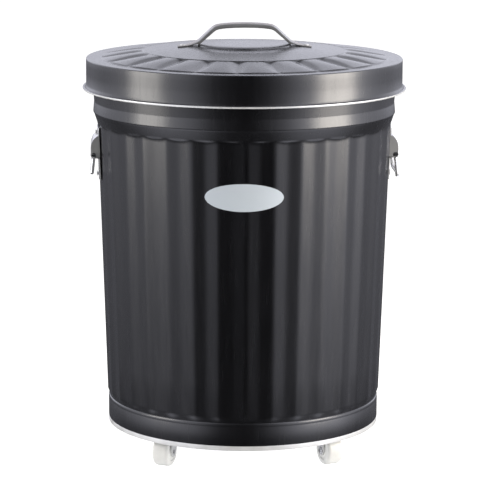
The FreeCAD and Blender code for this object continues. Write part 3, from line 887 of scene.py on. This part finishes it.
def press_pleats(lid, forms):
    """Sinks the valleys and swells the pads between them, row by row and station by station."""
    for radius, (depth, flank, swell) in forms.items():
        for k in range(PLEAT_STATIONS // 2 + 1):
            share = k / PLEAT_STATIONS
            drop = depth * max(0.0, 1 - share / flank) ** VALLEY_POWER
            across = min(1.0, max(0.0, (share - flank / 2) / (1 - flank)))
            pick(lambda v: abs(math.hypot(v.x, v.y) - radius) < ROW_REACH
                 and station(v, lid.pleat_phase, lid.pleat_count, PLEAT_STATIONS) == k)
            move(z=swell * math.sin(math.pi * across) - drop)


class PAIL_OT_lid(bpy.types.Operator):
    """Spins the lid, presses its fan of pleats and rolls its edge"""
    bl_idname = "pail.lid"
    bl_label = "Lid"

    def execute(self, context):
        lid = context.scene.pail_lid
        profile, forms = lid_profile(lid)
        piece = turned("lid_pleated", profile, lid.pleat_phase, lid.pleat_count * PLEAT_STATIONS)
        press_pleats(lid, forms)
        clean()
        leave()
        given_sheet(piece, context.scene.pail_wall.sheet)
        smooth(piece, 30)
        settled(piece, "lid", "black_paint", ["lid"], "satin_black_paint", "galvanised_sheet")
        # The black paint runs over the bead's upper part and the bare zinc begins low on it, so the paint
        # there is a painted shade line standing for the shaded groove above the bead
        zinc_below_painted_shade_line = lid.top - lid.skirt + lid.bead_radius * 0.4
        for face in piece.data.polygons:
            if face.center.z < zinc_below_painted_shade_line:
                face.material_index = 1
        return {"FINISHED"}


STRAP_BENDS = (0.005, 0.005, 0.005, 0.004, 0.003)
CHANNEL_ROWS = ((0.0, 0.0024), (0.0002, 0.0013), (0.0008, 0.0005), (0.0018, 0.0002))    # inset, drop
GRIP_SAG = 0.0001    # how far the strap's top is lower halfway to its side


def strap_line(size, lid):
    """Middle line of the strap's top, from the grip's middle out to the tip."""
    disc = lid.top + lid.rise + lid.crown_rise
    top = disc + size.grip_height
    tab = size.tip_half - size.tab
    seat = size.seat + size.sheet
    return [
        (0.0, top),
        (size.grip_half * 0.35, top - size.grip_drop * 0.08),
        (size.grip_half * 0.7, top - size.grip_drop * 0.36),
        (size.grip_half, top - size.grip_drop),
        (size.knee_half, crown_top(size.knee_half) + size.knee_height),
        (tab, crown_top(tab) + seat),
        (size.tip_half, crown_top(size.tip_half) + seat),
    ]


def rounded_line(points, radii, steps=5):
    """The line with each inner corner taken by a short curve of the given reach."""
    points = [Vector(p) for p in points]
    line = [points[0]]
    for i in range(1, len(points) - 1):
        reach = radii[i - 1]
        into = (points[i - 1] - points[i]).normalized() * reach
        away = (points[i + 1] - points[i]).normalized() * reach
        start, end = points[i] + into, points[i] + away
        for k in range(steps + 1):
            t = k / steps
            line.append(start * (1 - t) ** 2 + points[i] * 2 * t * (1 - t) + end * t ** 2)
    line.append(points[-1])
    return line


def channel_depth(size, point):
    """How far the strap's sides are turned down at a point, less near a foot where the lid is close."""
    aside = abs(point.x)
    share = max(0.0, min(1.0, (aside - size.grip_half) / (size.knee_half - size.grip_half)))
    depth = size.channel + (size.knee_channel - size.channel) * share
    if aside > size.knee_half:
        depth = min(depth, max(0.0, point.y - crown_top(aside) - size.sheet))
    return depth


class PAIL_OT_strap(bpy.types.Operator):
    """Bends the lid's handle from a strip and turns its sides down"""
    bl_idname = "pail.strap"
    bl_label = "Lid handle"

    def execute(self, context):
        size = context.scene.pail_handles
        half_line = rounded_line(strap_line(size, context.scene.pail_lid), STRAP_BENDS)
        line = [Vector((-p.x, p.y)) for p in reversed(half_line[1:])] + half_line
        last = len(line) - 1
        half = size.width / 2
        rows = [(-half, size.channel)] + [(inset - half, drop) for inset, drop in CHANNEL_ROWS]
        rows += [(-half / 2, GRIP_SAG), (0.0, 0.0)]
        rows += [(-y, drop) for y, drop in reversed(rows[:-1])]
        deselect()
        bpy.ops.mesh.primitive_grid_add(x_subdivisions=last, y_subdivisions=len(rows) - 1, size=1,
                                        location=(0, 0, 0))
        piece = named("lid_strap_handle")
        edit(piece)
        for i, point in enumerate(line):
            column = i / last - 0.5
            along = line[min(i + 1, last)] - line[max(i - 1, 0)]
            lean = math.atan2(along.y, along.x)
            depth = channel_depth(size, point)
            for j, (y, drop) in enumerate(rows):
                row = j / (len(rows) - 1) - 0.5
                drop = min(drop, depth)
                pick(lambda v: abs(v.x - column) < GRID_REACH and abs(v.y - row) < GRID_REACH
                     and abs(v.z) < SAME_PLACE)
                move(point.x - column + drop * math.sin(lean), y - row, point.y - drop * math.cos(lean))
        clean()
        leave()
        faced(piece, Vector((0, 0, 1)))
        given_sheet(piece, size.sheet)
        rounded(piece, size.strap_round)
        smooth(piece, 40)
        settled(piece, "lid", "galvanised_steel", ["lid_handle"], "dull_strap_steel")
        return {"FINISHED"}


RIVET_SIDES = 32
DOME_SHARES = ((0.45, 1.0), (0.3, 0.86), (0.17, 0.62), (0.08, 0.3))    # share of the rise, then of the width


def rivet_head(size, shank):
    """A domed rivet with its head's underside at the origin, along +Z."""
    deselect()
    bpy.ops.mesh.primitive_cylinder_add(vertices=RIVET_SIDES, radius=size.rivet_shank, depth=shank,
                                        location=(0, 0, -shank / 2))
    piece = named("rivet")
    edit(piece)
    pick_faces(lambda middle, normal: normal.z > FACING)
    extruded()
    resized(size.rivet_radius / size.rivet_shank, size.rivet_radius / size.rivet_shank)
    for rise, share in DOME_SHARES:
        extruded(z=size.rivet_height * rise)
        resized(share, share)
    bpy.ops.mesh.select_mode(type="VERT")
    clean()
    leave()
    return piece


def laid(piece, place, direction):
    """Turns a piece made along +Z to a direction and sets it in its place."""
    edit(piece)
    turn = Vector((0, 0, 1)).rotation_difference(direction).to_matrix().to_4x4()
    mesh = bmesh.from_edit_mesh(piece.data)
    bmesh.ops.transform(mesh, matrix=Matrix.Translation(place) @ turn, verts=mesh.verts)
    bmesh.update_edit_mesh(piece.data)
    leave()
    return piece


def joined(pieces, name):
    deselect()
    for piece in pieces:
        piece.select_set(True)
    bpy.context.view_layer.objects.active = pieces[0]
    bpy.ops.object.join()
    return named(name)


class PAIL_OT_rivets(bpy.types.Operator):
    """Sets the domed rivets of the lid handle and the ears"""
    bl_idname = "pail.rivets"
    bl_label = "Rivets"

    def execute(self, context):
        size = context.scene.pail_handles
        lid = context.scene.pail_lid
        model = rivet_head(size, context.scene.pail_wall.sheet + size.sheet + size.rivet_spare)
        slope = lid.crown_rise / (lid.crown_radius - lid.crown_edge - lid.disc_radius)
        reach = size.tip_half - size.rivet_inset
        high = crown_top(reach) + size.sheet + size.rivet_seat
        strap = []
        for side in (-1, 1):
            piece = copied(model, "strap_rivet")
            strap.append(laid(piece, Vector((side * reach, 0, high)), Vector((side * slope, 0, 1))))
        piece = joined(strap, "lid_handle_rivet_heads")
        smooth(piece, 50)
        settled(piece, "lid", "galvanised_steel", ["lid_handle_rivets"], "galvanised_sheet")
        ears = []
        for side in (-1, 1):
            for height in (size.ear_top - size.ear_rivet_inset, size.ear_foot + size.ear_rivet_inset):
                out = crest_radius(height) + size.ear_sheet + size.ear_seat
                piece = copied(model, "ear_rivet")
                ears.append(laid(piece, Vector((side * out, 0, height)), Vector((side, 0, 0))))
        piece = joined(ears, "ear_rivet_heads")
        smooth(piece, 50)
        settled(piece, "can", "galvanised_steel", ["ear_rivets"], "galvanised_sheet")
        bpy.data.objects.remove(model)
        return {"FINISHED"}


# Ears and wire handles

EAR_COLUMNS = 8
POCKET_BENDS = (0.0012, 0.0028, 0.004)
FOOT_BENDS = (0.0015,)
TAB_REACH = 0.0002     # how far under the upper tab's end an ear still follows the wall's curve
FOOT_REACH = 0.0008    # how far under the trough it follows it again
PUNCH_SIDES = 40
WIRE_SIDES = 20
WIRE_BEND_STEPS = 8


def ear_line(size):
    """Outside of the ear's sheet, as (distance from the axis, height) from the top down."""
    trough = size.wire + size.wire_clearance + size.ear_sheet
    seat = size.ear_seat + size.ear_sheet
    centre = crest_radius(size.pivot_height) + size.ear_reach
    tab_end = size.ear_top - size.ear_tab
    out = crest_radius(tab_end) + seat
    low = size.pivot_height - trough
    wrap = arc((centre, size.pivot_height), trough, first=25, last=-90, steps=10)
    pocket = [
        (crest_radius(size.ear_top) + seat, size.ear_top),
        (out, tab_end),
        (out + size.brow_reach, tab_end - size.brow_drop),
        (out + size.pocket_reach, tab_end - size.pocket_drop),
        wrap[0],
    ]
    lower = [wrap[-1], (crest_radius(low) + seat, low), (crest_radius(size.ear_foot) + seat, size.ear_foot)]
    upper = rounded_line(pocket, POCKET_BENDS)
    return upper[:-1] + [Vector(p) for p in wrap] + rounded_line(lower, FOOT_BENDS, steps=4)[1:]


def ear_cheeks(size, line):
    """The two side walls of an ear's pocket, each with a hole for the wire."""
    half = size.ear_width / 2
    hole = size.wire + size.wire_clearance
    outer = [p for p in line if size.ear_top - size.ear_tab > p.y > size.pivot_height - hole]
    rim = [(p.x - size.cheek_inset, p.y) for p in outer]
    for height in (outer[-1].y, outer[0].y):
        rim.append((math.sqrt(crest_radius(height) ** 2 - half ** 2) + size.cheek_gap, height))
    deselect()
    middle = (crest_radius(size.pivot_height) + size.ear_reach, 0, size.pivot_height)
    bpy.ops.mesh.primitive_cylinder_add(vertices=PUNCH_SIDES, radius=hole, depth=2 * size.ear_width,
                                        location=middle, rotation=(QUARTER_TURN, 0, 0))
    punch = named("ear_punch")
    cheeks = []
    for side in (-1, 1):
        cheek = traced("ear_cheek", [(x, side * (half - size.cheek_side), z) for x, z in rim])
        bpy.ops.mesh.edge_face_add()
        extruded(y=-side * size.ear_sheet)
        clean()
        leave()
        modified(cheek, "BOOLEAN", operation="DIFFERENCE", object=punch, solver="EXACT")
        cheeks.append(cheek)
    bpy.data.objects.remove(punch)
    return cheeks


class PAIL_OT_ears(bpy.types.Operator):
    """Presses the ears that carry the wire handles"""
    bl_idname = "pail.ears"
    bl_label = "Ears"

    def execute(self, context):
        size = context.scene.pail_handles
        half = size.ear_width / 2
        line = ear_line(size)
        right = traced("right_ear_pressed", [(p.x, -half, p.y) for p in line])
        column = (size.ear_width - 2 * size.ear_margin) / EAR_COLUMNS
        for width in (size.ear_margin, *[column] * EAR_COLUMNS, size.ear_margin):
            extruded(y=width)
        clean()
        low = size.pivot_height - size.wire - size.wire_clearance - size.ear_sheet
        tab_end = size.ear_top - size.ear_tab
        wall = crest_radius(size.pivot_height)
        for y in sorted({round(vertex.co.y, 6) for vertex in bmesh.from_edit_mesh(right.data).verts}):
            pick(lambda v: abs(v.y - y) < ROW_REACH
                 and (v.z > tab_end - TAB_REACH or v.z < low - FOOT_REACH))
            move(x=math.sqrt(wall ** 2 - y ** 2) - wall)
        for side in (-1, 1):
            pick(lambda v: abs(v.y - side * half) < ROW_REACH
                 and (v.z > size.ear_top - GRID_REACH or v.z < size.ear_foot + GRID_REACH))
            move(y=-side * size.ear_corner)
        leave()
        faced(right, Vector((1, 0, 0)))
        given_sheet(right, size.ear_sheet)
        rounded(right, size.ear_round)
        right = joined([right] + ear_cheeks(size, line), "right_ear_pressed")
        smooth(right, 40)
        left = copied(right, "left_ear_pressed")
        turned_about(left, math.pi)
        for piece, node in ((right, "right_ear"), (left, "left_ear")):
            settled(piece, "can", "galvanised_steel", [node], "plated_wire")
        return {"FINISHED"}


def bent_wire(name, corners, radius, bends):
    """A closed wire through corners in one plane across X, bent round each of them."""
    corners = [Vector(c) for c in corners]
    count = len(corners)
    middle = (corners[0] + corners[1]) / 2
    heading = (corners[1] - corners[0]).normalized()
    deselect()
    bpy.ops.mesh.primitive_circle_add(vertices=WIRE_SIDES, radius=radius, location=middle,
                                      rotation=(QUARTER_TURN, 0, 0))
    piece = named(name)
    bpy.ops.object.transform_apply(location=True, rotation=True, scale=True)
    edit_all(piece)
    place = middle
    for i in range(1, count + 1):
        corner = corners[i % count]
        after = (corners[(i + 1) % count] - corner).normalized()
        turn = heading.angle(after)
        bend = bends[i % count]
        reach = bend * math.tan(turn / 2)
        start = corner - heading * reach
        extruded(*(start - place))
        axis = heading.cross(after).normalized()
        centre = start + axis.cross(heading) * bend
        bpy.ops.mesh.spin(steps=WIRE_BEND_STEPS, angle=turn, center=centre, axis=axis)
        place = corner + after * reach
        heading = after
    extruded(*(middle - place))
    clean(ROW_REACH)
    leave()
    return piece


class PAIL_OT_wire_handles(bpy.types.Operator):
    """Bends the two wire handles"""
    bl_idname = "pail.wire_handles"
    bl_label = "Wire handles"

    def execute(self, context):
        size = context.scene.pail_handles
        x = crest_radius(size.pivot_height) + size.ear_reach
        half = size.ear_width / 2 + size.wire_side + size.wire
        low = size.pivot_height - size.drop
        corners = [(x, -half, size.pivot_height), (x, half, size.pivot_height),
                   (x, size.wire_grip_half, low), (x, -size.wire_grip_half, low)]
        bends = [size.wire_eye, size.wire_eye, size.wire_bend, size.wire_bend]
        right = bent_wire("right_wire_handle", corners, size.wire, bends)
        turned_about(right, -size.lean, axis="Y", centre=(x, 0, size.pivot_height))
        smooth(right, 60)
        left = copied(right, "left_wire_handle")
        turned_about(left, math.pi)
        for piece, side in ((right, "right_bail"), (left, "left_bail")):
            settled(piece, side, "galvanised_steel", [side], "plated_wire")
        return {"FINISHED"}


# Casters

def caster_places(size):
    """For each caster its name, swivel axis, and rest turn read from its wheel's joint."""
    axes = {joint["name"]: joint["axis"] for joint in frame["joints"]}
    places = []
    for index, corner in enumerate(CORNERS):
        pivot = at_angle(size.pivot_radius, math.radians(45 - 90 * index), 0)
        axis = axes[corner + "_wheel_spin"]
        places.append((corner, pivot, math.atan2(axis[1], axis[0])))
    return places


WHEEL_SIDES = 72
SHOULDER_STEPS = 6
AXLE_SIDES = 32


def rod(name, sides, radius, depth, centre):
    """A cylinder along X, left in edit mode."""
    deselect()
    bpy.ops.mesh.primitive_cylinder_add(vertices=sides, radius=radius, depth=depth, location=centre,
                                        rotation=(0, QUARTER_TURN, 0))
    piece = named(name)
    bpy.ops.object.transform_apply(location=True, rotation=True, scale=True)
    edit(piece)
    return piece


def wheel_model(size, centre):
    """A wheel with rounded shoulders, a recess in each side, a hub and a bore."""
    half = size.wheel_width / 2
    wheel = rod("wheel_model", WHEEL_SIDES, size.wheel_radius - size.tread_gap, size.wheel_width, centre)
    pick_faces(lambda middle, normal: abs(normal.x) > FACING)
    bpy.ops.mesh.bevel(offset=size.shoulder, segments=SHOULDER_STEPS, profile=0.5, affect="EDGES")
    pick_faces(lambda middle, normal: abs(normal.x) > FACING and abs(abs(middle.x) - half) < ROW_REACH)
    bpy.ops.mesh.inset(thickness=size.side_ring)
    bpy.ops.mesh.inset(thickness=size.groove, depth=-size.recess)
    bpy.ops.mesh.inset(thickness=size.web)
    bpy.ops.mesh.inset(thickness=size.hub_slope, depth=size.hub_rise)
    hub = size.wheel_radius - size.shoulder - size.side_ring - size.groove - size.web - size.hub_slope
    bpy.ops.mesh.inset(thickness=hub - size.axle_radius - size.bore_clearance)
    bpy.ops.mesh.bridge_edge_loops()
    bpy.ops.mesh.select_mode(type="VERT")
    clean()
    leave()
    smooth(wheel, 35)
    return wheel


def axle_model(size, centre):
    """An axle with its ends riveted over and hollow."""
    axle = rod("axle_model", AXLE_SIDES, size.axle_radius, 2 * (size.fork_gap + size.fork_sheet), centre)
    # For each step of an end, how far it goes out and how wide it leaves the face
    wider = size.axle_head / size.axle_radius
    steps = ((0.0, wider), (size.axle_end * 0.6, 1.0), (size.axle_end * 0.4, 0.8), (0.0, 0.62),
             (-size.axle_hollow, 0.94))
    for side in (-1, 1):
        pick_faces(lambda middle, normal: normal.x * side > FACING)
        for out, share in steps:
            extruded(x=side * out)
            resized(1, share, share, centre)
    bpy.ops.mesh.select_mode(type="VERT")
    clean()
    leave()
    smooth(axle, 35)
    return axle


class PAIL_OT_wheels(bpy.types.Operator):
    """Turns the plastic wheels and their tubular axles"""
    bl_idname = "pail.wheels"
    bl_label = "Wheels"

    def execute(self, context):
        size = context.scene.pail_casters
        centre = (0, -size.trail, size.wheel_radius)
        wheel = wheel_model(size, centre)
        axle = axle_model(size, centre)
        for corner, pivot, turn in caster_places(size):
            for model, kind, body, slot, finish in (
                (wheel, "wheel", "_wheel", "white_plastic", "moulded_wheel_plastic"),
                (axle, "axle", "_swivel", "galvanised_steel", "plated_wire"),
            ):
                piece = copied(model, kind + "_" + corner)
                turned_about(piece, turn)
                shifted(piece, pivot.x, pivot.y)
                settled(piece, corner + body, slot, ["caster_" + kind + "_" + corner], finish)
        bpy.data.objects.remove(wheel)
        bpy.data.objects.remove(axle)
        return {"FINISHED"}


class PAIL_OT_fittings(bpy.types.Operator):
    """Gives the frame's own fittings their plated finish"""
    bl_idname = "pail.fittings"
    bl_label = "Caster fittings"

    def execute(self, context):
        for name, node in frame["nodes"].items():
            if name.startswith(("caster_fork", "caster_plate", "caster_king")):
                node.data.materials.clear()
                node.data.materials.append(finish_of("galvanised_sheet"))
        return {"FINISHED"}


# Stage

FLOOR_WIDTH = 9
FLOOR_SHIFT = 3.7          # how far the floor's middle lies behind the pail
CAMERA_DISTANCE = 3.07
CAMERA_TURN = -3           # degrees from the middle of the front
CAMERA_HEIGHT = 0.8238
CAMERA_AIM = (-0.0007, 0, 0.25)
CAMERA_ROLL = 0.25         # degrees
CAMERA_LENS = 189.43       # millimetres, on film 36 wide
FILM_WIDTH = 36
FARTHEST = 50


def soft_box(name, place, aim, width, height, power, tint):
    bpy.ops.object.light_add(type="AREA", location=place)
    lamp = bpy.context.object
    lamp.name = name
    lamp.data.shape = "RECTANGLE"
    lamp.data.size = width
    lamp.data.size_y = height
    lamp.data.energy = power
    lamp.data.color = tint
    lamp.rotation_euler = (Vector(aim) - Vector(place)).to_track_quat("-Z", "Y").to_euler()


def combined(tree, operation, first, second):
    node = node_of(tree, "Math")
    node.operation = operation
    for socket, value in zip(node.inputs, (first, second)):
        if isinstance(value, float):
            socket.default_value = value
        else:
            tree.links.new(value, socket)
    return node.outputs["Value"]


def light_studio(scene):
    """A white room for the eye and the floor; gloss meets bright sides and back, and a dark front."""
    world = scene.world or bpy.data.worlds.new("studio")
    scene.world = world
    world.use_nodes = True
    world.cycles.sampling_method = "NONE"
    tree = world.node_tree
    tree.nodes.clear()

    def plus(first, second):
        return combined(tree, "ADD", first, second)

    def times(first, second):
        return combined(tree, "MULTIPLY", first, second)

    def zone(source, low, high, start, end):
        return ranged(tree, source, low, high, start, end)

    place = node_of(tree, "TexCoord")
    split = node_of(tree, "SeparateXYZ")
    tree.links.new(place.outputs["Generated"], split.inputs["Vector"])
    x, y, z = split.outputs

    # How far a direction turns to the side at its own height; the root is kept a hair above nothing
    flat = combined(tree, "POWER", combined(tree, "SUBTRACT", 1.0001, times(z, z)), 0.5)
    turn = combined(tree, "DIVIDE", x, flat)
    aside = combined(tree, "ABSOLUTE", turn, 0.0)

    # Scrims at both sides, the right one stronger, and the floor's glow, all weaker towards the back
    near = zone(aside, 0.0, 0.2, 0.05, 0.42)
    far = zone(aside, 0.0, 2.0, 0.42, 0.78)
    right = times(zone(turn, 0.0, 1.3, 0.15, 0.8), zone(y, 1.0, 0.0, -0.1, 0.35))
    sides = times(plus(plus(near, far), right), zone(z, 0.15, 1.0, -0.3, -0.13))
    glow = times(zone(z, 1.0, 0.0, -0.7, -0.5), zone(aside, 0.05, 1.7, 0.45, 1.0))
    scrims = times(plus(sides, glow), zone(y, 1.0, 0.2, -0.1, 0.6))

    # Wall behind, dark at the floor and weaker at the top and the middle, and a dim ceiling
    back = times(zone(y, 0.0, 1.0, 0.1, 0.9), zone(z, 0.12, 1.8, -0.13, 0.12))
    wall = times(back, times(zone(z, 1.0, 0.2, 0.55, 0.85), zone(aside, 0.75, 1.3, 0.0, 0.6)))
    ceiling = zone(z, 0.0, 0.15, 0.7, 0.95)

    room = node_of(tree, "Background", {"Color": (0.94, 0.95, 1.07, 1)})
    tree.links.new(plus(plus(scrims, wall), ceiling), room.inputs["Strength"])
    white = node_of(tree, "Background", {"Color": (1, 1, 1, 1)})
    path = node_of(tree, "LightPath")
    tree.links.new(zone(path.outputs["Is Camera Ray"], 0.45, 1.0, 0.0, 1.0), white.inputs["Strength"])
    mix = node_of(tree, "MixShader")
    tree.links.new(path.outputs["Is Glossy Ray"], mix.inputs["Fac"])
    tree.links.new(white.outputs["Background"], mix.inputs[1])
    tree.links.new(room.outputs["Background"], mix.inputs[2])
    out = node_of(tree, "OutputWorld")
    tree.links.new(mix.outputs["Shader"], out.inputs["Surface"])


class PAIL_OT_stage(bpy.types.Operator):
    """Sets the pale floor, the soft boxes and the camera"""
    bl_idname = "pail.stage"
    bl_label = "Stage"

    def execute(self, context):
        deselect()
        bpy.ops.mesh.primitive_plane_add(size=1, location=(0, 0, 0))
        floor = named("pale_floor")
        edit_all(floor)
        resized(FLOOR_WIDTH, FLOOR_WIDTH)
        move(y=FLOOR_SHIFT)
        leave()
        floor.data.materials.append(finish_of("pale_floor"))
        floor.visible_glossy = False
        floor.visible_shadow = False
        light_studio(context.scene)
        soft_box("left_box", place=(-1.74, -0.47, 0.76), aim=(-0.12, -0.15, 0.76), width=0.82, height=1.28,
                 power=22, tint=(1, 0.96, 0.89))
        soft_box("right_box", place=(1.72, -0.83, 0.76), aim=(0.1, -0.16, 0.76), width=0.98, height=1.28,
                 power=47, tint=(1, 0.93, 0.83))
        context.scene.view_settings.view_transform = "Standard"
        bpy.ops.object.camera_add()
        camera = bpy.context.object
        camera.name = "photo_camera"
        place = at_angle(CAMERA_DISTANCE, math.radians(CAMERA_TURN), CAMERA_HEIGHT)
        aim = (Vector(CAMERA_AIM) - place).to_track_quat("-Z", "Y")
        camera.location = place
        camera.rotation_euler = (aim @ Quaternion((0, 0, 1), math.radians(CAMERA_ROLL))).to_euler()
        camera.data.lens = CAMERA_LENS
        camera.data.sensor_width = FILM_WIDTH
        camera.data.clip_end = FARTHEST
        context.scene.camera = camera
        return {"FINISHED"}


class PAIL_PT_panel(bpy.types.Panel):
    """Lists the steps that build the pail"""
    bl_label = "Ribbed pail"
    bl_idname = "PAIL_PT_panel"
    bl_space_type = "VIEW_3D"
    bl_region_type = "UI"
    bl_category = "Pail"

    def draw(self, context):
        for step in STEPS:
            self.layout.operator(step.bl_idname)


STEPS = (PAIL_OT_stage, PAIL_OT_wall, PAIL_OT_pan, PAIL_OT_sticker, PAIL_OT_lid, PAIL_OT_strap,
         PAIL_OT_rivets, PAIL_OT_ears, PAIL_OT_wire_handles, PAIL_OT_wheels, PAIL_OT_fittings)
GROUPS = {
    "pail_wall": PailWallSizes,
    "pail_sticker": StickerSizes,
    "pail_lid": LidSizes,
    "pail_handles": HandleSizes,
    "pail_casters": CasterSizes,
    "pail_finish": PailFinish,
}
CLASSES = (*GROUPS.values(), *STEPS, PAIL_PT_panel)


def register():
    for item in CLASSES:
        bpy.utils.register_class(item)
    for name, group in GROUPS.items():
        setattr(bpy.types.Scene, name, PointerProperty(type=group))


def unregister():
    for name in GROUPS:
        delattr(bpy.types.Scene, name)
    for item in reversed(CLASSES):
        bpy.utils.unregister_class(item)


def main():
    register()
    bpy.ops.pail.stage()
    bpy.ops.pail.wall()
    bpy.ops.pail.pan()
    bpy.ops.pail.sticker()
    bpy.ops.pail.lid()
    bpy.ops.pail.strap()
    bpy.ops.pail.rivets()
    bpy.ops.pail.ears()
    bpy.ops.pail.wire_handles()
    bpy.ops.pail.wheels()
    bpy.ops.pail.fittings()


if __name__ == "__main__":
    main()
